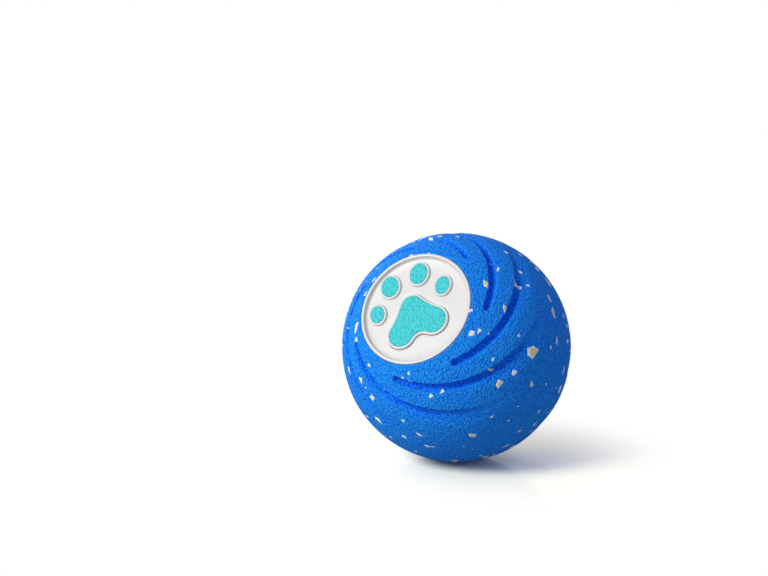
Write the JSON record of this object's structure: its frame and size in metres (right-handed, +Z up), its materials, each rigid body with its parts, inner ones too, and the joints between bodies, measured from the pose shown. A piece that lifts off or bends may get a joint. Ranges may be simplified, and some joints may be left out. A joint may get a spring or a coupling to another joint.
{
  "type": "interactive dog ball",
  "caption": "Rolling dog toy: grained foam ball with swirl grooves, paw button cap in front, charging cap behind, and a geared off-centre weight inside that makes it roll.",
  "frame": {"origin": "point where the ball touches the floor, under its middle", "axes": "+Z up; the paw cap faces -Y and 33 degrees up; +X to the right when facing the paw"},
  "size_m": [0.08, 0.08, 0.08],
  "materials": {
    "foam_blue": "matte moulded foam with pebbled grain and pale chips",
    "cap_white": "satin moulded plastic",
    "paw_teal": "matte soft insert with pebbled grain",
    "tube_grey": "moulded plastic",
    "frame_grey": "moulded plastic",
    "board_green": "solder mask",
    "chip_black": "moulded plastic",
    "led_clear": "clear resin",
    "screw_steel": "zinc plated",
    "plunger_white": "moulded plastic",
    "battery_wrap": "shrink film",
    "motor_steel": "plated drawn steel",
    "endbell_ivory": "moulded plastic",
    "brass_bare": "turned",
    "axle_steel": "ground",
    "gear_ivory": "moulded plastic",
    "weight_steel": "sintered",
    "socket_steel": "plated sheet",
    "seal_grey": "soft seal",
    "ribbon_cream": "flat cable",
    "lead_red": "insulated wire",
    "lead_black": "insulated wire"
  },
  "bodies": {
    "ball": {"foam_shell": "foam_blue", "core_tube": "tube_grey", "front_cap": "cap_white", "toe_inlays": "paw_teal", "main_board": "board_green", "board_chips": "chip_black", "status_leds": "led_clear", "board_screws": "screw_steel", "tact_switch": "chip_black", "battery_cell": "battery_wrap", "battery_cradle": "frame_grey", "motor_can": "motor_steel", "motor_endbell": "endbell_ivory", "motor_terminals": "brass_bare", "motor_screws": "screw_steel", "gear_plate": "frame_grey", "gear_cover": "frame_grey", "drive_screws": "screw_steel", "centre_axle": "axle_steel", "idler_pin": "axle_steel", "rear_bulkhead": "frame_grey", "axle_bush": "brass_bare", "usb_board": "board_green", "usb_socket": "socket_steel", "usb_tongue": "chip_black", "usb_screws": "screw_steel", "rear_cap": "cap_white", "rear_gasket": "seal_grey", "cap_screws": "screw_steel", "door_pin": "axle_steel", "charge_ribbon": "ribbon_cream", "lead_red": "lead_red", "lead_black": "lead_black"},
    "swing": {"output_gear": "gear_ivory", "swing_weight": "weight_steel"},
    "centre_wheel": {"centre_gear": "gear_ivory"},
    "idler_wheel": {"idler_gear": "gear_ivory"},
    "rotor": {"motor_shaft": "axle_steel", "motor_pinion": "brass_bare"},
    "button": {"paw_button": "cap_white", "paw_inlay": "paw_teal", "switch_plunger": "plunger_white"},
    "door": {"port_door": "cap_white", "port_plug": "seal_grey"}
  },
  "joints": [
    {"name": "weight_spin", "type": "hinge", "parent": "ball", "child": "swing", "pos_m": [0, 0, 0.04], "axis": [0, -0.8387, 0.5446], "continuous": true},
    {"name": "centre_gear_spin", "type": "hinge", "parent": "ball", "child": "centre_wheel", "pos_m": [0, 0, 0.04], "axis": [0, -0.8387, 0.5446], "continuous": true},
    {"name": "idler_spin", "type": "hinge", "parent": "ball", "child": "idler_wheel", "pos_m": [0.00831, 0.00261, 0.04403], "axis": [0, -0.8387, 0.5446], "continuous": true},
    {"name": "motor_spin", "type": "hinge", "parent": "ball", "child": "rotor", "pos_m": [0, -0.00523, 0.03195], "axis": [0, -0.8387, 0.5446], "continuous": true},
    {"name": "button_press", "type": "slide", "parent": "ball", "child": "button", "axis": [0, 0.8387, -0.5446], "range_m": [0, 0.001], "stiffness_N_per_m": 300, "springref_m": -0.001},
    {"name": "door_hinge", "type": "hinge", "parent": "ball", "child": "door", "pos_m": [0, 0.03102, 0.02654], "axis": [1, 0, 0], "range_deg": [0, 110]}
  ],
  "couplings": [
    {"joint": "idler_spin", "follows": "weight_spin", "ratio": -3},
    {"joint": "centre_gear_spin", "follows": "weight_spin", "ratio": 9},
    {"joint": "motor_spin", "follows": "weight_spin", "ratio": -27}
  ]
}
